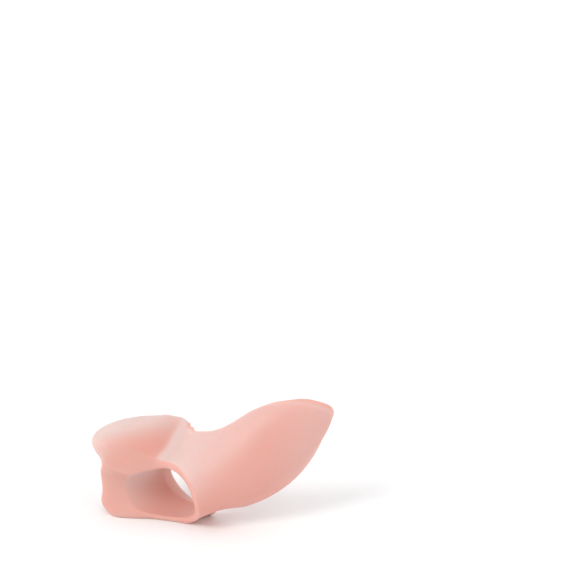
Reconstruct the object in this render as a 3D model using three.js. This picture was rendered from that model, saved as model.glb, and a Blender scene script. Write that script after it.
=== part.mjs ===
// Toe separator with a joint shield, moulded in one piece of soft gel.
//
// Millimetres. X runs back from the front of the separator to the tip of its shield, Y runs out to the
// side where the spacer is, and Z runs up. The origin is under the middle of the part's box, on the
// surface that it stands on.
//
// The gel lies against a hollow: a tube that starts as the toe hole, widens and bends upwards. Ribs go
// round the toe hole one after the other. Each rib is a closed ring that runs back along the hollow
// from the front edge to the rear edge, and comes forward again over the outside.

import * as THREE from "three";

// The hollow
const HOLE_WIDTH = 22.4; // toe hole, from side to side
const HOLE_HEIGHT = 18.0; // toe hole, from bottom to top
const AXIS_HEIGHT = 10.4; // axis of the toe hole above the surface
const JOINT_WIDTH = 35.8; // the hollow at its widest, inside the shield
const JOINT_HEIGHT = 32.2;
const HOLLOW_REACH = 57.0; // from the front edge of the bridge to the last section, level
const HOLLOW_RISE = 38.6; // how far the hollow's axis climbs over that reach

// The shield, the bridge over the toe hole and the band under it
const SHIELD_LENGTH = 66.0; // from the bridge's front edge to the shield's tip, along the hollow
const SHIELD_THICKNESS = 3.4;

// The spacer beside the toe hole
const SPACER_LENGTH = 38.0;
const SPACER_THICKNESS = 8.5; // its waist, from the toe hole to the outer side
const SPACER_FLARE = { front: 1.3, rear: 0.8 }; // how far its ends lean out, for each mm of thickness

// The pads of the spacer: its head, the collar behind the head and the base
const HEAD_LENGTH = 41.4;
const HEAD_WIDTH = 25.0;
const HEAD_HEIGHT = 10.8;
const HEAD_TILT = 11.5; // degrees, with its outer side up
const COLLAR_LENGTH = 19.8;
const COLLAR_WIDTH = 17.8;
const COLLAR_HEIGHT = 10.6;
const BASE_LENGTH = 31.0;
const BASE_WIDTH = 23.0;
const BASE_HEIGHT = 10.0;

// The soft crease between the head's pillow and the collar
const PILLOW_LENGTH = 30.0;
const PILLOW_WIDTH = 26.0;
const CREASE_DEPTH = 1.2;
const CREASE_WIDTH = 2.0; // from its bottom to where it has nearly run out, along the pillow

// A fold in the hollow where the band meets the shield, under the inner side
const FOLD_DEPTH = 3.6;
const FOLD_LENGTH = 6.0;
const FOLD_AT = 0.255; // share of the shield's length
const FOLD_ANGLE = 142; // degrees round the hollow
const FOLD_SPREAD = 22; // degrees to each side

// The edges
const FRONT_ROUNDING = 0.8; // how far from the front edge a rib is at its full thickness, in thicknesses
const EDGE_RADIUS = 1.2; // rounding between the edges and the hollow, at most

// The mesh
const RIBS_PER_ROW = 7;
const OUTER_STEPS = 20;
const EDGE_STEPS = 3;
const INNER_STEPS = 8;
const BLEND_ROWS = 0.15; // how far the pads' edges are softened round the loop, in rows
const BLEND_SHARE = 0.035; // and along a rib

// Sections of the hollow: along is a share of its reach, rise of its climb, and grow says how far the
// section has grown from the toe hole's size to the joint's size.
const HOLLOW_ROWS = [
  { along: -0.49, rise: -0.026, grow: -0.09 },
  { along: -0.245, rise: -0.016, grow: -0.05 },
  { along: 0.0, rise: 0.0, grow: 0.0 },
  { along: 0.21, rise: 0.041, grow: 0.18 },
  { along: 0.386, rise: 0.114, grow: 0.51 },
  { along: 0.58, rise: 0.238, grow: 0.87 },
  { along: 0.755, rise: 0.425, grow: 1.0 },
  { along: 0.895, rise: 0.681, grow: 0.95 },
  { along: 1.0, rise: 1.0, grow: 0.82 },
];

// Ribs, one row after the other round the toe hole, from its top over the inner side.
// from and to: degrees round the hollow from the top, at the rib's front and rear end.
// front: share of the spacer's length, behind the bridge's front edge.
// rear: share of the length of the shield or of the spacer, whichever the rib belongs to.
// thick: share of its thickness. tip and end: height of the outermost line of the front and of the
// rear edge, as shares of the rib's own thickness. taper: how far from the rear edge the rib is at its
// full thickness, in thicknesses. turn: degrees by which the rib grows away from straight out.
const SHIELD_ROWS = [
  { from: 0, front: 0.087, to: 2, rear: 0.429, thick: 0.76, tip: 0.42, end: 0.35, taper: 1.5 },
  { from: 17, front: 0.134, to: 14.5, rear: 0.536, thick: 0.85, tip: 0.38, end: 0.28, taper: 2.1 },
  { from: 33, front: 0.168, to: 25.7, rear: 0.756, thick: 0.94, tip: 0.34, end: 0.22, taper: 3.1 },
  { from: 48, front: 0.192, to: 43.6, rear: 0.9, thick: 1.0, tip: 0.32, end: 0.21, taper: 3.8 },
  { from: 64, front: 0.21, to: 72, rear: 0.998, thick: 1.0, tip: 0.32, end: 0.21, taper: 3.8 },
  { from: 80, front: 0.216, to: 108, rear: 0.994, thick: 1.0, tip: 0.32, end: 0.21, taper: 3.8 },
  { from: 95, front: 0.221, to: 110, rear: 0.892, thick: 0.97, tip: 0.33, end: 0.21, taper: 3.9 },
  { from: 108, front: 0.224, to: 120.5, rear: 0.705, thick: 0.85, tip: 0.38, end: 0.24, taper: 4.0 },
  { from: 120, front: 0.226, to: 124, rear: 0.5, thick: 0.76, tip: 0.42, end: 0.31, taper: 3.5 },
  { from: 136, front: 0.218, to: 132.5, rear: 0.333, thick: 0.71, tip: 0.46, end: 0.38, taper: 1.7 },
  { from: 162, front: 0.145, to: 162, rear: 0.265, thick: 0.71, tip: 0.46, end: 0.46, taper: 0.8 },
];
const SPACER_ROWS = [
  { from: 192, front: 0.0, to: 192, rear: 0.42, thick: 0.33, tip: 0.43, end: 0.43, taper: 0.7 },
  { from: 222, front: -0.158, to: 222, rear: 0.316, thick: 0.82, tip: 0.5, end: 0.5, taper: 0.7 },
  { from: 248, front: -0.224, to: 248, rear: 0.237, thick: 1.0, tip: 0.41, end: 0.41, taper: 0.8 },
  { from: 272, front: -0.237, to: 272, rear: 0.211, thick: 0.94, tip: 0.38, end: 0.38, taper: 0.9 },
  { from: 296, front: -0.245, to: 296, rear: 0.237, thick: 1, tip: 0.4, end: 0.59, taper: 0.7, turn: -5 },
  { from: 309, front: -0.243, to: 309, rear: 0.289, thick: 1.04, tip: 0.38, end: 0.74, taper: 0.6, turn: -12 },
  { from: 321, front: -0.237, to: 320, rear: 0.368, thick: 1.1, tip: 0.34, end: 0.96, taper: 0.5, turn: -7 },
  { from: 331, front: -0.135, to: 330, rear: 0.395, thick: 0.94, tip: 0.34, end: 0.95, taper: 0.5, turn: -4 },
  { from: 343, front: -0.014, to: 343, rear: 0.575, thick: 0.52, tip: 0.39, end: 0.78, taper: 0.7 },
];

// The pads are egg shapes: the head and the collar above the spacer's waist, and the base below it.
// sharp is high for a pad with a clear edge round it, and runIn is the length over which the pad starts
// and ends.
const HOLE_TOP = AXIS_HEIGHT + HOLE_HEIGHT / 2;
const PADS = [
  {
    centre: [-0.006 * HEAD_LENGTH, HOLE_WIDTH / 2 + 0.122 * HEAD_WIDTH, HOLE_TOP + 0.63 * HEAD_HEIGHT],
    half: [HEAD_LENGTH / 2, HEAD_WIDTH / 2, HEAD_HEIGHT / 2],
    tilt: HEAD_TILT,
    sharp: 3,
    runIn: 0.093 * HEAD_LENGTH,
  },
  {
    centre: [0.294 * HEAD_LENGTH, HOLE_WIDTH / 2 + 0.298 * COLLAR_WIDTH, HOLE_TOP + 0.65 * COLLAR_HEIGHT],
    half: [COLLAR_LENGTH / 2, COLLAR_WIDTH / 2, COLLAR_HEIGHT / 2],
    tilt: HEAD_TILT,
    sharp: 3,
    runIn: 0.18 * COLLAR_LENGTH,
  },
  {
    centre: [-0.03 * BASE_LENGTH, HOLE_WIDTH / 2 + 0.165 * BASE_WIDTH, 0.4 * BASE_HEIGHT],
    half: [BASE_LENGTH / 2, BASE_WIDTH / 2, BASE_HEIGHT / 2],
    tilt: 0,
    sharp: 1.6,
    runIn: 0.12 * BASE_LENGTH,
  },
];

// The pillow is an egg shape in the head. The crease follows its rim on the side that faces the bridge.
const PILLOW = {
  centre: [-0.073 * HEAD_LENGTH, HOLE_WIDTH / 2 + 0.215 * PILLOW_WIDTH, HOLE_TOP + 0.61 * HEAD_HEIGHT],
  half: [PILLOW_LENGTH / 2, PILLOW_WIDTH / 2, 0.83 * HEAD_HEIGHT],
  tilt: HEAD_TILT,
  toward: new THREE.Vector3(1, -1, 0).normalize(),
  runIn: 0.08 * PILLOW_LENGTH,
};

const INNER_SIDE = new THREE.Vector3(0, -1, 0);
const clamp = THREE.MathUtils.clamp;
const lerp = THREE.MathUtils.lerp;
const radians = THREE.MathUtils.degToRad;

// Sections and ribs in millimetres

function hollowSections() {
  const sections = HOLLOW_ROWS.map((row) => ({
    x: row.along * HOLLOW_REACH,
    z: AXIS_HEIGHT + row.rise * HOLLOW_RISE,
    width: lerp(HOLE_WIDTH, JOINT_WIDTH, row.grow) / 2,
    height: lerp(HOLE_HEIGHT, JOINT_HEIGHT, row.grow) / 2,
    distance: 0,
  }));
  for (let i = 1; i < sections.length; i++) {
    const [before, here] = [sections[i - 1], sections[i]];
    here.distance = before.distance + Math.hypot(here.x - before.x, here.z - before.z);
  }
  const start = sections[HOLLOW_ROWS.findIndex((row) => row.along === 0)].distance;
  for (const section of sections) section.distance -= start;
  return sections;
}

function ribRows(rows, length, thickness) {
  return rows.map((row) => {
    const thick = row.thick * thickness;
    return {
      from: row.from,
      to: row.to,
      front: row.front * SPACER_LENGTH,
      rear: row.rear * length,
      thick,
      tip: row.tip * thick,
      end: row.end * thick,
      taper: row.taper * thick,
      turn: row.turn ?? 0,
    };
  });
}

const SECTIONS = hollowSections();
const RIBS = [
  ...ribRows(SHIELD_ROWS, SHIELD_LENGTH, SHIELD_THICKNESS),
  ...ribRows(SPACER_ROWS, SPACER_LENGTH, SPACER_THICKNESS),
];
const THIN = RIBS[0].thick; // the thickness over the toe hole, where the ribs don't lean

// Smooth curves through the rows

function sectionSlope(i, key) {
  const before = SECTIONS[Math.max(i - 1, 0)];
  const after = SECTIONS[Math.min(i + 1, SECTIONS.length - 1)];
  return (after[key] - before[key]) / (after.distance - before.distance);
}

// One measure of the hollow at a distance along it, and how fast it changes there.
function sectionValue(distance, key) {
  let i = 0;
  while (i < SECTIONS.length - 2 && SECTIONS[i + 1].distance < distance) i++;
  const [a, b] = [SECTIONS[i], SECTIONS[i + 1]];
  const step = b.distance - a.distance;
  const t = (distance - a.distance) / step;
  const start = sectionSlope(i, key) * step;
  const end = sectionSlope(i + 1, key) * step;
  const square = 3 * (b[key] - a[key]) - 2 * start - end;
  const cube = start + end - 2 * (b[key] - a[key]);
  return {
    value: a[key] + t * (start + t * (square + t * cube)),
    slope: (start + t * (2 * square + 3 * t * cube)) / step,
  };
}

// The rib at a place round the loop, counted in rows. Angles go on growing from lap to lap.
function ribAt(place) {
  const first = Math.floor(place);
  const t = place - first;
  const rib = {};
  for (const key of Object.keys(RIBS[0])) {
    const lap = key === "from" || key === "to" ? 360 : 0;
    const [p0, p1, p2, p3] = [-1, 0, 1, 2].map((k) => {
      const row = THREE.MathUtils.euclideanModulo(first + k, RIBS.length);
      return RIBS[row][key] + lap * Math.floor((first + k) / RIBS.length);
    });
    const cube = 3 * (p1 - p2) + p3 - p0;
    rib[key] = p1 + 0.5 * t * (p2 - p0 + t * (2 * p0 - 5 * p1 + 4 * p2 - p3 + t * cube));
  }
  const start = hollow(rib.front, rib.from, 0).point;
  const end = hollow(rib.rear, rib.to, 0).point;
  rib.length = Math.max(start.distanceTo(end), rib.rear - rib.front);
  return rib;
}

// The hollow

function foldAt(distance, angle) {
  const along = (distance - FOLD_AT * SHIELD_LENGTH) / FOLD_LENGTH;
  const round = (THREE.MathUtils.euclideanModulo(angle - FOLD_ANGLE + 180, 360) - 180) / FOLD_SPREAD;
  return FOLD_DEPTH * Math.exp(-along * along - round * round);
}

// A point of the hollow's wall, the way out of the wall turned by some degrees, and the way back.
function hollow(distance, angle, turn) {
  const x = sectionValue(distance, "x");
  const z = sectionValue(distance, "z");
  const back = new THREE.Vector3(x.slope, 0, z.slope).normalize();
  const up = new THREE.Vector3().crossVectors(INNER_SIDE, back);
  const outAt = (degrees) =>
    new THREE.Vector3()
      .addScaledVector(INNER_SIDE, Math.sin(radians(degrees)))
      .addScaledVector(up, Math.cos(radians(degrees)));
  const across = Math.sin(radians(angle)) / sectionValue(distance, "width").value;
  const upward = Math.cos(radians(angle)) / sectionValue(distance, "height").value;
  const radius = 1 / Math.hypot(across, upward) - foldAt(distance, angle);
  const point = new THREE.Vector3(x.value, 0, z.value).addScaledVector(outAt(angle), radius);
  return { point, out: outAt(angle + turn), back };
}

// Thickness of the gel

// From 0 at an edge to 1 at the given length from it, as a quarter circle.
function rounded(distance, length) {
  const rest = 1 - clamp(distance / length, 0, 1);
  return Math.sqrt(1 - rest * rest);
}

// The way from the hollow to the outside of a rib at a share of its length. Thick ribs lean out.
function ribRay(rib, share) {
  const distance = lerp(rib.front, rib.rear, share);
  const wall = hollow(distance, lerp(rib.from, rib.to, share), rib.turn);
  const spread = THREE.MathUtils.smoothstep(rib.thick, THIN, THIN + 0.6 * SPACER_THICKNESS);
  const lean = spread * lerp(-SPACER_FLARE.front, SPACER_FLARE.rear, share);
  return { start: wall.point, way: wall.out.addScaledVector(wall.back, lean) };
}

function coreThickness(rib, share) {
  const edge = lerp(rib.tip, rib.end, THREE.MathUtils.smoothstep(share, 0, 1));
  const fore = rounded(share * rib.length, FRONT_ROUNDING * rib.thick);
  const aft = rounded((1 - share) * rib.length, rib.taper);
  return edge + (rib.thick - edge) * fore * aft;
}

// Where a ray passes nearest to the middle of an egg shape, in the egg's half sizes, how far along the
// ray that is, and the square of the ray's own length there.
function passBy(egg, ray) {
  const tilt = radians(egg.tilt);
  const half = new THREE.Vector3(...egg.half);
  const inEgg = (v) =>
    new THREE.Vector3(
      v.x,
      Math.cos(tilt) * v.y + Math.sin(tilt) * v.z,
      Math.cos(tilt) * v.z - Math.sin(tilt) * v.y,
    ).divide(half);
  const start = inEgg(ray.start.clone().sub(new THREE.Vector3(...egg.centre)));
  const way = inEgg(ray.way);
  const along = -start.dot(way) / way.lengthSq();
  return { near: start.addScaledVector(way, along), along, square: way.lengthSq() };
}

// How far a pad stands out over the core of the rib, where the ray leaves the pad.
function padRise(pad, ray, core) {
  const { near, along, square } = passBy(pad, ray);
  const miss = clamp(near.lengthSq(), 0, 1);
  const leave = along + Math.sqrt((1 - miss) / square);
  return Math.max(leave - core, 0) * (1 - Math.pow(miss, pad.sharp));
}

// 1 on the rib and 0 at its ends, over a length.
function inside(rib, share, length) {
  return rounded(share * rib.length, length) * rounded((1 - share) * rib.length, length);
}

function padsRise(rib, share) {
  const ray = ribRay(rib, share);
  const core = coreThickness(rib, share);
  return Math.max(...PADS.map((pad) => padRise(pad, ray, core) * inside(rib, share, pad.runIn)));
}

function creaseDepth(rib, share) {
  const { near, along, square } = passBy(PILLOW, ribRay(rib, share));
  const reach = Math.max(near.length(), 0.001);
  const off = ((reach - 1) * PILLOW_LENGTH) / 2 / CREASE_WIDTH;
  const facing = clamp(near.dot(PILLOW.toward) / reach, 0, 1);
  const ahead = clamp(2 * along * Math.sqrt(square), 0, 1);
  return CREASE_DEPTH * Math.exp(-off * off) * facing * ahead * inside(rib, share, PILLOW.runIn);
}

// Thickness at a share of the rib. The ribs beside it soften the pads' edges.
function thicknessAt(rib, beside, share) {
  let sum = 0;
  let weights = 0;
  for (const { across, near } of beside) {
    for (const along of [-1, 0, 1]) {
      const weight = (1 - 0.3 * Math.abs(across)) * (1 - 0.4 * Math.abs(along));
      sum += weight * padsRise(near, clamp(share + along * BLEND_SHARE, 0, 1));
      weights += weight;
    }
  }
  return coreThickness(rib, share) + sum / weights - creaseDepth(rib, share);
}

// The gel

// A closed ring of points: over the outside to the rear edge, and back along the hollow.
function ribRing(place) {
  const rib = ribAt(place);
  const beside = [-2, -1, 0, 1, 2].map((across) => ({
    across,
    near: ribAt(place + across * BLEND_ROWS),
  }));
  const ring = [];
  const add = (share, thickness) => {
    const ray = ribRay(rib, share);
    const point = ray.start.addScaledVector(ray.way, thickness);
    point.z = Math.max(point.z, 0); // flat where it stands
    ring.push(point);
  };
  for (let i = 0; i <= OUTER_STEPS; i++) {
    const even = i / OUTER_STEPS;
    const share = lerp(even, (1 - Math.cos(Math.PI * even)) / 2, 0.6);
    add(share, thicknessAt(rib, beside, share));
  }
  const foreInset = Math.min(rib.tip, EDGE_RADIUS) / rib.length;
  const rearInset = Math.min(rib.end, EDGE_RADIUS) / rib.length;
  const foreHeight = thicknessAt(rib, beside, 0);
  const rearHeight = thicknessAt(rib, beside, 1);
  for (let i = 1; i <= EDGE_STEPS; i++) {
    const turn = (Math.PI / 2) * (i / EDGE_STEPS);
    add(1 - rearInset * (1 - Math.cos(turn)), rearHeight * (1 - Math.sin(turn)));
  }
  for (let i = 1; i < INNER_STEPS; i++) {
    add(lerp(1 - rearInset, foreInset, i / INNER_STEPS), 0);
  }
  for (let i = EDGE_STEPS; i >= 1; i--) {
    const turn = (Math.PI / 2) * (i / EDGE_STEPS);
    add(foreInset * (1 - Math.cos(turn)), foreHeight * (1 - Math.sin(turn)));
  }
  return ring;
}

function gelGeometry() {
  const count = RIBS.length * RIBS_PER_ROW;
  const rings = Array.from({ length: count }, (_, i) => ribRing(i / RIBS_PER_ROW));
  const size = rings[0].length;
  const corner = (i, j) => (i % count) * size + (j % size);
  const index = [];
  for (let i = 0; i < count; i++) {
    for (let j = 0; j < size; j++) {
      const near = [corner(i, j), corner(i, j + 1)];
      const next = [corner(i + 1, j), corner(i + 1, j + 1)];
      index.push(near[0], next[0], next[1], near[0], next[1], near[1]);
    }
  }
  const geometry = new THREE.BufferGeometry().setFromPoints(rings.flat());
  geometry.setIndex(index);
  geometry.computeBoundingBox();
  const middle = geometry.boundingBox.getCenter(new THREE.Vector3());
  geometry.translate(-middle.x, -middle.y, 0);
  geometry.computeVertexNormals();
  return geometry;
}

const gel = new THREE.Mesh(
  gelGeometry(),
  new THREE.MeshStandardMaterial({ color: 0xedb4a8, roughness: 0.42, metalness: 0 }),
);
gel.name = "gel_separator";

const separator = new THREE.Group();
separator.add(gel);

export default separator;
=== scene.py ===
"""Looks of the gel toe separator: a fine mesh of the same ribs as the solid, its gel, and a plain studio."""

import math

import bpy
import numpy as np
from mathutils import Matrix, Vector


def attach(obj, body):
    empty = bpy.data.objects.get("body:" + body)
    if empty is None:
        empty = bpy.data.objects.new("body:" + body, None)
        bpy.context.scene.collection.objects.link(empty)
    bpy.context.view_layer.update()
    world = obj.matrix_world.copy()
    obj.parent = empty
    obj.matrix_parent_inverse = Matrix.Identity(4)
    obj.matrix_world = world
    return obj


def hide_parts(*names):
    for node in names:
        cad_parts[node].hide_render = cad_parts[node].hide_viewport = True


MM = 0.001

# The part, in millimetres, as in its solid
HOLE_WIDTH = 22.4
HOLE_HEIGHT = 18.0
AXIS_HEIGHT = 10.4
JOINT_WIDTH = 35.8
JOINT_HEIGHT = 32.2
HOLLOW_REACH = 57.0
HOLLOW_RISE = 38.6
SHIELD_LENGTH = 66.0
SHIELD_THICKNESS = 3.4
SPACER_LENGTH = 38.0
SPACER_THICKNESS = 8.5
SPACER_FLARE = (1.3, 0.8)  # how far its ends lean out, front and rear, for each mm of thickness
FULL_LEAN = 0.6  # added thickness at which a rib leans fully, in thicknesses of the spacer
HEAD_LENGTH = 41.4
HEAD_WIDTH = 25.0
HEAD_HEIGHT = 10.8
HEAD_TILT = 11.5
COLLAR_LENGTH = 19.8
COLLAR_WIDTH = 17.8
COLLAR_HEIGHT = 10.6
BASE_LENGTH = 31.0
BASE_WIDTH = 23.0
BASE_HEIGHT = 10.0
PILLOW_LENGTH = 30.0
PILLOW_WIDTH = 26.0
CREASE_DEPTH = 1.2
CREASE_WIDTH = 2.0
FOLD = {"depth": 3.6, "length": 6.0, "at": 0.255 * SHIELD_LENGTH, "angle": 142.0, "spread": 22.0}
FRONT_ROUNDING = 0.8
EDGE_RADIUS = 1.2
BLEND_ROWS = 0.15  # how far the pads' edges are softened round the loop, in rows
BLEND_SHARE = 0.035  # and along a rib
ACROSS_FALL = 0.3  # weight that each step away from the point loses there
ALONG_FALL = 0.4

# The fine mesh
RIBS_PER_ROW = 17
OUTER_STEPS = 110
EDGE_STEPS = 7
INNER_STEPS = 40
CROWDING = 0.6  # 0 spaces the outer steps evenly, 1 crowds them at both edges as a half circle does

# The rolled rim along the free edges
BEAD_HEIGHT = 0.42
BEAD_AT = 0.7
BEAD_WIDTH = 0.5
BEAD_ENDS = 7.0  # thickness of a rib that has none
BEAD_FADE = 3.0

# along, rise, grow
HOLLOW_ROWS = np.array([
    (-0.49, -0.026, -0.09),
    (-0.245, -0.016, -0.05),
    (0.0, 0.0, 0.0),
    (0.21, 0.041, 0.18),
    (0.386, 0.114, 0.51),
    (0.58, 0.238, 0.87),
    (0.755, 0.425, 1.0),
    (0.895, 0.681, 0.95),
    (1.0, 1.0, 0.82),
])
# from, front, to, rear, thick, tip, end, taper, turn
SHIELD_ROWS = np.array([
    (0, 0.087, 2, 0.429, 0.76, 0.42, 0.35, 1.5, 0),
    (17, 0.134, 14.5, 0.536, 0.85, 0.38, 0.28, 2.1, 0),
    (33, 0.168, 25.7, 0.756, 0.94, 0.34, 0.22, 3.1, 0),
    (48, 0.192, 43.6, 0.9, 1.0, 0.32, 0.21, 3.8, 0),
    (64, 0.21, 72, 0.998, 1.0, 0.32, 0.21, 3.8, 0),
    (80, 0.216, 108, 0.994, 1.0, 0.32, 0.21, 3.8, 0),
    (95, 0.221, 110, 0.892, 0.97, 0.33, 0.21, 3.9, 0),
    (108, 0.224, 120.5, 0.705, 0.85, 0.38, 0.24, 4.0, 0),
    (120, 0.226, 124, 0.5, 0.76, 0.42, 0.31, 3.5, 0),
    (136, 0.218, 132.5, 0.333, 0.71, 0.46, 0.38, 1.7, 0),
    (162, 0.145, 162, 0.265, 0.71, 0.46, 0.46, 0.8, 0),
])
SPACER_ROWS = np.array([
    (192, 0.0, 192, 0.42, 0.33, 0.43, 0.43, 0.7, 0),
    (222, -0.158, 222, 0.316, 0.82, 0.5, 0.5, 0.7, 0),
    (248, -0.224, 248, 0.237, 1.0, 0.41, 0.41, 0.8, 0),
    (272, -0.237, 272, 0.211, 0.94, 0.38, 0.38, 0.9, 0),
    (296, -0.245, 296, 0.237, 1.0, 0.4, 0.59, 0.7, -5),
    (309, -0.243, 309, 0.289, 1.04, 0.38, 0.74, 0.6, -12),
    (321, -0.237, 320, 0.368, 1.1, 0.34, 0.96, 0.5, -7),
    (331, -0.135, 330, 0.395, 0.94, 0.34, 0.95, 0.5, -4),
    (343, -0.014, 343, 0.575, 0.52, 0.39, 0.78, 0.7, 0),
])
HOLE_SIDE = HOLE_WIDTH / 2
HOLE_TOP = AXIS_HEIGHT + HOLE_HEIGHT / 2
HEAD = {
    "centre": (
        -0.006 * HEAD_LENGTH,
        HOLE_SIDE + 0.122 * HEAD_WIDTH,
        HOLE_TOP + 0.63 * HEAD_HEIGHT,
    ),
    "half": (HEAD_LENGTH / 2, HEAD_WIDTH / 2, HEAD_HEIGHT / 2),
    "tilt": HEAD_TILT,
    "sharp": 3.0,
    "run_in": 0.093 * HEAD_LENGTH,
}
COLLAR = {
    "centre": (
        0.294 * HEAD_LENGTH,
        HOLE_SIDE + 0.298 * COLLAR_WIDTH,
        HOLE_TOP + 0.65 * COLLAR_HEIGHT,
    ),
    "half": (COLLAR_LENGTH / 2, COLLAR_WIDTH / 2, COLLAR_HEIGHT / 2),
    "tilt": HEAD_TILT,
    "sharp": 3.0,
    "run_in": 0.18 * COLLAR_LENGTH,
}
BASE = {
    "centre": (-0.03 * BASE_LENGTH, HOLE_SIDE + 0.165 * BASE_WIDTH, 0.4 * BASE_HEIGHT),
    "half": (BASE_LENGTH / 2, BASE_WIDTH / 2, BASE_HEIGHT / 2),
    "tilt": 0.0,
    "sharp": 1.6,
    "run_in": 0.12 * BASE_LENGTH,
}
PILLOW = {
    "centre": (
        -0.073 * HEAD_LENGTH,
        HOLE_SIDE + 0.215 * PILLOW_WIDTH,
        HOLE_TOP + 0.61 * HEAD_HEIGHT,
    ),
    "half": (PILLOW_LENGTH / 2, PILLOW_WIDTH / 2, 0.83 * HEAD_HEIGHT),
    "tilt": HEAD_TILT,
    "toward": np.array((math.sqrt(0.5), -math.sqrt(0.5), 0)),
    "low_end": np.array((0.2, -0.98, 0)),
    "run_in": 0.08 * PILLOW_LENGTH,
}
PILLOW_SHADE_FROM = 0.15  # where the painted shade at the pillow's low end starts and is full, towards its low end, in half sizes
PILLOW_SHADE_TO = 1.0
PILLOW_SHADE_RIM = 1.2  # where it ends past the pillow's rim
PILLOW_SHADE_FADE = 0.2


def mix(a, b, t):
    return a + (b - a) * t


def smooth(t):
    return t * t * (3 - 2 * t)


def hollow_sections():
    """Distance along the hollow, and x, z, half width and half height there, in rows."""
    along, rise, grow = HOLLOW_ROWS.T
    x = along * HOLLOW_REACH
    z = AXIS_HEIGHT + rise * HOLLOW_RISE
    distance = np.r_[0, np.cumsum(np.hypot(np.diff(x), np.diff(z)))]
    distance -= distance[list(along).index(0.0)]
    width = mix(HOLE_WIDTH, JOINT_WIDTH, grow) / 2
    height = mix(HOLE_HEIGHT, JOINT_HEIGHT, grow) / 2
    return distance, np.stack([x, z, width, height], 1)


def rib_rows(rows, length, thickness):
    """Rows of ribs in millimetres and degrees, from shares of a length and a thickness."""
    made = rows.astype(float).copy()
    made[:, 1] *= SPACER_LENGTH
    made[:, 3] *= length
    made[:, 4] *= thickness
    made[:, 5:8] *= made[:, 4:5]
    return made


DISTANCES, SECTIONS = hollow_sections()
RIBS = np.concatenate([
    rib_rows(SHIELD_ROWS, SHIELD_LENGTH, SHIELD_THICKNESS),
    rib_rows(SPACER_ROWS, SPACER_LENGTH, SPACER_THICKNESS),
])
THIN = RIBS[0, 4]


def section_at(distance):
    """The four measures of the hollow at each distance, and how fast they change."""
    slopes = np.empty_like(SECTIONS)
    slopes[1:-1] = (SECTIONS[2:] - SECTIONS[:-2]) / (DISTANCES[2:] - DISTANCES[:-2])[:, None]
    slopes[0] = (SECTIONS[1] - SECTIONS[0]) / (DISTANCES[1] - DISTANCES[0])
    slopes[-1] = (SECTIONS[-1] - SECTIONS[-2]) / (DISTANCES[-1] - DISTANCES[-2])
    i = np.clip(np.searchsorted(DISTANCES, distance) - 1, 0, len(DISTANCES) - 2)
    step = (DISTANCES[i + 1] - DISTANCES[i])[..., None]
    t = (distance - DISTANCES[i])[..., None] / step
    start = slopes[i] * step
    end = slopes[i + 1] * step
    rise = SECTIONS[i + 1] - SECTIONS[i]
    square = 3 * rise - 2 * start - end
    cube = start + end - 2 * rise
    value = SECTIONS[i] + t * (start + t * (square + t * cube))
    slope = (start + t * (2 * square + 3 * t * cube)) / step
    return value, slope


def ribs_at(place):
    """The nine measures of the rib at each place round the loop, counted in rows."""
    first = np.floor(place).astype(int)
    t = (place - first)[..., None]

    def row(k):
        made = RIBS[k % len(RIBS)].copy()
        made[..., 0] += 360 * (k // len(RIBS))
        made[..., 2] += 360 * (k // len(RIBS))
        return made

    p0, p1, p2, p3 = (row(first + k) for k in (-1, 0, 1, 2))
    cube = 3 * (p1 - p2) + p3 - p0
    return p1 + 0.5 * t * (p2 - p0 + t * (2 * p0 - 5 * p1 + 4 * p2 - p3 + t * cube))


def wall(distance, angle, turn):
    """Points of the hollow's wall, the ways out of it turned by some degrees, and the ways back."""
    value, slope = section_at(distance)
    run = np.linalg.norm(slope[..., :2], axis=-1, keepdims=True)
    ahead = slope[..., :2] / run
    none = np.zeros_like(distance)
    back = np.stack([ahead[..., 0], none, ahead[..., 1]], -1)
    up = np.stack([-ahead[..., 1], none, ahead[..., 0]], -1)
    inner_side = np.stack([none, none - 1, none], -1)

    def out_at(degrees):
        turned = np.radians(degrees)[..., None]
        return np.sin(turned) * inner_side + np.cos(turned) * up

    across = np.sin(np.radians(angle)) / value[..., 2]
    upward = np.cos(np.radians(angle)) / value[..., 3]
    along = (distance - FOLD["at"]) / FOLD["length"]
    around = ((angle - FOLD["angle"] + 180) % 360 - 180) / FOLD["spread"]
    radius = 1 / np.hypot(across, upward) - FOLD["depth"] * np.exp(-along**2 - around**2)
    centre = np.stack([value[..., 0], none, value[..., 1]], -1)
    return centre + radius[..., None] * out_at(angle), out_at(angle + turn), back


def rounded(distance, length):
    """0 at an edge and 1 at the given length from it, as a quarter circle."""
    rest = 1 - np.clip(distance / length, 0, 1)
    return np.sqrt(1 - rest * rest)


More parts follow.
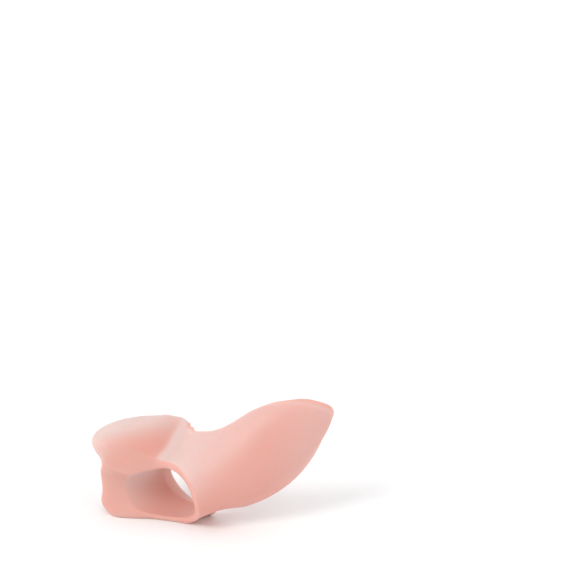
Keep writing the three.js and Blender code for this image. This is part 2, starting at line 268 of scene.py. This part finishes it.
class Ribs:
    """Ribs at places round the loop, one a line, so that shares run along the second axis."""

    def __init__(self, place):
        columns = [c[:, None] for c in ribs_at(place).T]
        self.start, self.front, self.stop, self.rear = columns[:4]
        self.thick, self.tip, self.end, self.taper, self.turn = columns[4:]
        none = np.zeros_like(self.front)
        gap = wall(self.front, self.start, none)[0] - wall(self.rear, self.stop, none)[0]
        self.length = np.maximum(np.linalg.norm(gap, axis=-1), self.rear - self.front)

    def rays(self, share):
        """Start points on the hollow and ways out of it. Thick ribs lean out at their ends."""
        distance = mix(self.front, self.rear, share)
        angle = mix(self.start, self.stop, share)
        point, out, back = wall(distance, angle, self.turn + 0 * share)
        spread = smooth(np.clip((self.thick - THIN) / (FULL_LEAN * SPACER_THICKNESS), 0, 1))
        lean = spread * mix(-SPACER_FLARE[0], SPACER_FLARE[1], share)
        return point, out + lean[..., None] * back

    def core(self, share):
        """The ribs' own thickness without the pads, rounded towards both edges."""
        edge = mix(self.tip, self.end, smooth(share))
        fore = rounded(share * self.length, FRONT_ROUNDING * self.thick)
        aft = rounded((1 - share) * self.length, self.taper)
        return edge + (self.thick - edge) * fore * aft

    def pass_by(self, egg, share):
        """Where rays pass nearest to an egg's middle, how far along they are, and their square there."""
        point, way = self.rays(share)
        tilt = math.radians(egg["tilt"])
        turn = np.array([
            (1, 0, 0),
            (0, math.cos(tilt), math.sin(tilt)),
            (0, -math.sin(tilt), math.cos(tilt)),
        ])
        into = turn / np.array(egg["half"])[:, None]
        start = (point - np.array(egg["centre"])) @ into.T
        ray = way @ into.T
        square = (ray * ray).sum(-1)
        along = -(start * ray).sum(-1) / square
        return start + along[..., None] * ray, along, square

    def inside(self, share, length):
        """1 on the rib and 0 at its ends, over a length."""
        return rounded(share * self.length, length) * rounded((1 - share) * self.length, length)

    def flush(self, share):
        """Painted shade: from 0 over most of the pillow to 1 at its low end, and 0 past its rim."""
        near = self.pass_by(PILLOW, share)[0]
        low = near @ PILLOW["low_end"]
        fade = smooth(np.clip((PILLOW_SHADE_RIM - np.linalg.norm(near, axis=-1)) / PILLOW_SHADE_FADE, 0, 1))
        return smooth(np.clip((low - PILLOW_SHADE_FROM) / (PILLOW_SHADE_TO - PILLOW_SHADE_FROM), 0, 1)) * fade

    def pads_rise(self, share):
        """How far the pads stand out over the core."""
        core = self.core(share)
        rise = np.zeros_like(core)
        for pad in (HEAD, COLLAR, BASE):
            near, along, square = self.pass_by(pad, share)
            miss = np.clip((near**2).sum(-1), 0, 1)
            leave = along + np.sqrt((1 - miss) / square)
            own = np.maximum(leave - core, 0) * (1 - miss ** pad["sharp"])
            rise = np.maximum(rise, own * self.inside(share, pad["run_in"]))
        return rise

    def crease(self, share):
        """Depth of the soft crease round the head's pillow, on the side that faces the bridge."""
        near, along, square = self.pass_by(PILLOW, share)
        reach = np.maximum(np.linalg.norm(near, axis=-1), 0.001)
        off = (reach - 1) * PILLOW_LENGTH / 2 / CREASE_WIDTH
        facing = np.clip(near @ PILLOW["toward"] / reach, 0, 1)
        ahead = np.clip(2 * along * np.sqrt(square), 0, 1)
        return CREASE_DEPTH * np.exp(-off * off) * facing * ahead * self.inside(share, PILLOW["run_in"])


def thickness(place, ribs, share):
    """The gel's thickness, with the pads' edges softened by the ribs beside."""
    total = 0
    weights = 0
    for across in (-2, -1, 0, 1, 2):
        near = Ribs(place + across * BLEND_ROWS)
        for along in (-1, 0, 1):
            weight = (1 - ACROSS_FALL * abs(across)) * (1 - ALONG_FALL * abs(along))
            total = total + weight * near.pads_rise(np.clip(share + along * BLEND_SHARE, 0, 1))
            weights += weight
    return ribs.core(share) + total / weights - ribs.crease(share)


def bead(ribs, share):
    """The low rolled rim beside the free edges, on thin gel only."""
    fore = (share * ribs.length - BEAD_AT) / BEAD_WIDTH
    aft = ((1 - share) * ribs.length - BEAD_AT) / BEAD_WIDTH
    thin = np.clip((BEAD_ENDS - ribs.thick) / BEAD_FADE, 0, 1)
    return BEAD_HEIGHT * thin * (np.exp(-fore * fore) + np.exp(-aft * aft))


def gel_points():
    """Rings of points, with each point's distance from the free edges, its thickness and its share of the
    painted shade at the pillow's low end.
    """
    place = np.arange(len(RIBS) * RIBS_PER_ROW) / RIBS_PER_ROW
    ribs = Ribs(place)
    even = np.linspace(0, 1, OUTER_STEPS + 1)
    share = mix(even, (1 - np.cos(np.pi * even)) / 2, CROWDING)
    share = np.broadcast_to(share, (len(place), len(share)))
    outer = thickness(place, ribs, share)
    quarter = np.pi / 2 * np.arange(1, EDGE_STEPS + 1) / EDGE_STEPS
    fore_inset = np.minimum(ribs.tip, EDGE_RADIUS) / ribs.length
    rear_inset = np.minimum(ribs.end, EDGE_RADIUS) / ribs.length
    rear_share = 1 - rear_inset * (1 - np.cos(quarter))
    rear_height = outer[:, -1:] * (1 - np.sin(quarter))
    inner = np.arange(1, INNER_STEPS) / INNER_STEPS
    inner_share = mix(1 - rear_inset, fore_inset, inner)
    fore_share = (fore_inset * (1 - np.cos(quarter)))[:, ::-1]
    fore_height = (outer[:, :1] * (1 - np.sin(quarter)))[:, ::-1]
    shares = np.concatenate([share, rear_share, inner_share, fore_share], 1)
    heights = np.concatenate(
        [outer + bead(ribs, share), rear_height, 0 * inner_share, fore_height], 1
    )
    point, way = ribs.rays(shares)
    points = point + heights[..., None] * way
    points[..., 2] = np.maximum(points[..., 2], 0)
    from_edge = np.minimum(shares, 1 - shares) * ribs.length
    rear_depth = outer[:, -1:] + 0 * rear_share
    fore_depth = outer[:, :1] + 0 * fore_share
    depth = np.concatenate([outer, rear_depth, ribs.core(inner_share), fore_depth], 1)
    flush = np.zeros_like(from_edge)
    flush[:, : share.shape[1]] = ribs.flush(share)
    return points, from_edge, depth, flush


def gel_mesh(name):
    """The closed gel mesh in metres, centred over its box, and the middle that it was moved by."""
    points, from_edge, depth, flush = gel_points()
    count, size = points.shape[:2]
    flat = points.reshape(-1, 3)
    middle = (flat.min(0) + flat.max(0)) / 2
    flat = (flat - (middle[0], middle[1], 0)) * MM
    i, j = np.meshgrid(np.arange(count), np.arange(size), indexing="ij")
    i2, j2 = (i + 1) % count, (j + 1) % size
    quads = np.stack([i * size + j, i2 * size + j, i2 * size + j2, i * size + j2], -1).reshape(-1, 4)
    mesh = bpy.data.meshes.new(name)
    mesh.from_pydata(flat.tolist(), [], quads.tolist())
    mesh.shade_smooth()
    for key, values in (("from_edge", from_edge), ("depth", depth), ("flush", flush)):
        layer = mesh.attributes.new(key, "FLOAT", "POINT")
        layer.data.foreach_set("value", values.reshape(-1).astype(np.float32))
    mesh.update()
    return mesh, middle


# Materials


class Nodes:
    """A short way to write a material's nodes."""

    def __init__(self, name):
        self.material = bpy.data.materials.new(name)
        self.material.use_nodes = True
        self.tree = self.material.node_tree
        self.surface = self.tree.nodes["Principled BSDF"]

    def add(self, kind, inputs=None, **settings):
        node = self.tree.nodes.new(kind)
        for key, value in settings.items():
            setattr(node, key, value)
        for key, value in (inputs or {}).items():
            self.put(node.inputs[key], value)
        return node

    def put(self, socket, value):
        if isinstance(value, bpy.types.NodeSocket):
            self.tree.links.new(value, socket)
        else:
            socket.default_value = value

    def set(self, **inputs):
        for key, value in inputs.items():
            self.put(self.surface.inputs[key.replace("_", " ")], value)

    def place(self):
        return self.add("ShaderNodeTexCoord").outputs["Object"]

    def measured(self, name):
        """One of the values that the mesh holds at each point."""
        return self.add("ShaderNodeAttribute", attribute_name=name).outputs["Fac"]

    def noise(self, scale, detail, rough, place):
        inputs = {"Scale": scale, "Detail": detail, "Roughness": rough, "Vector": place}
        return self.add("ShaderNodeTexNoise", inputs).outputs["Fac"]

    def spread(self, value, low, high, to_low=0.0, to_high=1.0):
        node = self.add(
            "ShaderNodeMapRange",
            {"Value": value, "From Min": low, "From Max": high, "To Min": to_low, "To Max": to_high},
            interpolation_type="SMOOTHSTEP",
        )
        return node.outputs["Result"]

    def blend(self, share, first, second):
        node = self.add("ShaderNodeMix", data_type="RGBA")
        for k, value in ((0, share), (6, first), (7, second)):
            self.put(node.inputs[k], value)
        return node.outputs[2]

    def calculate(self, operation, first, second):
        return self.add("ShaderNodeMath", {0: first, 1: second}, operation=operation).outputs[0]


GEL_BODY = (0.69, 0.36, 0.31, 1)
GEL_THIN = (0.7, 0.42, 0.375, 1)
# painted light: the side towards the key light, the head's front end, the shield's rear and a line beside
# the upper rims
GEL_PAINTED_LIGHT = (0.71, 0.565, 0.53, 1)
# painted shade: low down and at the pillow's low end
GEL_PAINTED_SHADE = (0.69, 0.325, 0.27, 1)
GEL_RIM = (0.7, 0.375, 0.32, 1)
FLOOR_DARK = (0.91, 0.91, 0.91, 1)
FLOOR_LIGHT = (0.93, 0.93, 0.93, 1)
CLOUD_SHIFT = 0.004  # how far the soft clouds move the edge of the painted light, in metres


def gel_material():
    """Pink gel with painted light on the head, the bridge and the shield's rear, a painted highlight beside
    the upper rims, painted shade low down and at the pillow's low end, and warmer rims.
    """
    n = Nodes("gel")
    place = n.place()
    from_edge = n.measured("from_edge")
    depth = n.measured("depth")
    flush = n.measured("flush")
    cloudy = n.noise(55.0, 4.0, 0.5, place)
    mottled = n.noise(420.0, 3.0, 0.6, place)
    fine = n.noise(1500.0, 2.0, 0.6, place)
    at = n.add("ShaderNodeSeparateXYZ", {"Vector": place}).outputs
    # a slope up and towards the key light, along which light is painted
    forward = n.calculate("SUBTRACT", at["Z"], at["X"])
    toward_light = n.calculate("ADD", forward, n.calculate("MULTIPLY", cloudy, CLOUD_SHIFT))
    # a painted highlight line just inside the upper rims, where the key light catches the rounded edge
    near_rim = n.spread(from_edge, 1.5, 2.8, 0.35, 0.0)
    rim_highlight = n.calculate("MULTIPLY", near_rim, n.spread(at["Z"], 0.018, 0.03))
    # where each colour shows, one over the other
    layers = (
        (n.spread(toward_light, 0.02, 0.041, 0.0, 0.78), GEL_PAINTED_LIGHT),  # painted light over the bridge and the head, on the side towards the key light
        (n.spread(toward_light, 0.054, 0.068, 0.0, 0.6), GEL_PAINTED_LIGHT),  # painted highlight on the head's front end
        (n.spread(at["X"], 0.01, 0.03, 0.0, 0.26), GEL_PAINTED_LIGHT),  # painted light on the rear of the shield, against its shading
        (n.spread(at["Z"], 0.006, 0.02, 0.45, 0.0), GEL_PAINTED_SHADE),  # painted shade low down
        (rim_highlight, GEL_PAINTED_LIGHT),  # a painted highlight line beside the upper rims
        (n.spread(flush, 0.0, 1.0, 0.0, 0.95), GEL_PAINTED_SHADE),  # painted shade at the pillow's low end, beside its crease
        (n.spread(mottled, 0.45, 0.75, 0.0, 0.12), GEL_BODY),
        (n.spread(from_edge, 0.6, 1.5, 0.9, 0.0), GEL_RIM),
    )
    body = n.blend(n.spread(depth, 1.2, 3.2), GEL_THIN, GEL_BODY)
    for share, colour in layers:
        body = n.blend(share, body, colour)
    n.set(Base_Color=body)
    n.set(Subsurface_Weight=0.75, Subsurface_Scale=0.003, Subsurface_Radius=(1.0, 0.45, 0.35), IOR=1.41)
    n.set(Roughness=n.spread(mottled, 0.3, 0.7, 0.38, 0.5), Specular_IOR_Level=0.5)
    skin = n.calculate("ADD", fine, n.calculate("MULTIPLY", cloudy, 3.0))
    bump = n.add("ShaderNodeBump", {"Strength": 0.12, "Distance": 0.0002, "Height": skin})
    n.set(Normal=bump.outputs["Normal"])
    return n.material


def floor_material():
    n = Nodes("floor")
    tone = n.noise(6.0, 4.0, 0.5, n.place())
    n.set(Base_Color=n.blend(n.spread(tone, 0.3, 0.7), FLOOR_DARK, FLOOR_LIGHT))
    n.set(Roughness=0.7, Specular_IOR_Level=0.2)
    return n.material


# The studio

CAMERA_EYE = (-218.716, -600.916, 295.116)  # millimetres, before the part is centred
CAMERA_YAW = -24.137
CAMERA_PITCH = 17.964
CAMERA_FOCUS = 1995.0  # focal length in pixels of the photograph's frame
FRAME_WIDTH = 581
SENSOR_WIDTH = 36.0
FLOOR_SIZE = 8
FLOOR_STEPS = 8
WORLD_POWER = 0.94
# name, azimuth, elevation and spread in degrees, and power
SOFT_LIGHTS = (
    ("key", -75, 42, 24, 1.0),
    ("fill", 40, 30, 60, 0.3),
)


def place_camera(middle):
    """The photograph's camera, moved with the part by its middle."""
    data = bpy.data.cameras.new("camera")
    data.sensor_width = SENSOR_WIDTH
    data.lens = CAMERA_FOCUS / FRAME_WIDTH * data.sensor_width
    data.clip_start, data.clip_end = 0.01, 20.0
    camera = bpy.data.objects.new("camera", data)
    bpy.context.scene.collection.objects.link(camera)
    camera.location = (Vector(CAMERA_EYE) - Vector((middle[0], middle[1], 0))) * MM
    camera.rotation_euler = (math.radians(90 - CAMERA_PITCH), 0, math.radians(CAMERA_YAW))
    bpy.context.scene.camera = camera


def soft_light(name, azimuth, elevation, spread, power):
    """A soft far light that looks at the part from an azimuth and elevation."""
    a, e = math.radians(azimuth), math.radians(elevation)
    back = Vector((math.sin(a) * math.cos(e), -math.cos(a) * math.cos(e), math.sin(e)))
    data = bpy.data.lights.new(name, "SUN")
    data.angle = math.radians(spread)
    data.energy = power
    light = bpy.data.objects.new(name, data)
    light.location = back
    light.rotation_mode = "QUATERNION"
    light.rotation_quaternion = (-back).to_track_quat("-Z", "Y")
    bpy.context.scene.collection.objects.link(light)


def studio():
    """A plain pale floor, a white world and two soft lights."""
    bpy.ops.mesh.primitive_grid_add(x_subdivisions=FLOOR_STEPS, y_subdivisions=FLOOR_STEPS, size=FLOOR_SIZE)
    floor = bpy.context.object
    floor.name = "floor"
    floor.data.materials.append(floor_material())
    world = bpy.data.worlds.new("studio")
    world.use_nodes = True
    background = world.node_tree.nodes["Background"].inputs
    background["Color"].default_value = (1, 1, 1, 1)
    background["Strength"].default_value = WORLD_POWER
    bpy.context.scene.world = world
    for light in SOFT_LIGHTS:
        soft_light(*light)
    bpy.context.scene.view_settings.view_transform = "Standard"


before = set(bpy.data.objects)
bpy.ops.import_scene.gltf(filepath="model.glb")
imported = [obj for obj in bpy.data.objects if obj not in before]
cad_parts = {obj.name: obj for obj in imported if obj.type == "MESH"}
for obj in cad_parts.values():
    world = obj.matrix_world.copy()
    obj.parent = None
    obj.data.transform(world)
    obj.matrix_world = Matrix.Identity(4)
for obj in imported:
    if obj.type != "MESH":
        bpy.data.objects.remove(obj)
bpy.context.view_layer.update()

mesh, middle = gel_mesh("gel")
gel = bpy.data.objects.new("gel", mesh)
bpy.context.scene.collection.objects.link(gel)
mesh.materials.append(gel_material())
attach(gel, "root")
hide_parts("gel_separator")

studio()
place_camera(middle)
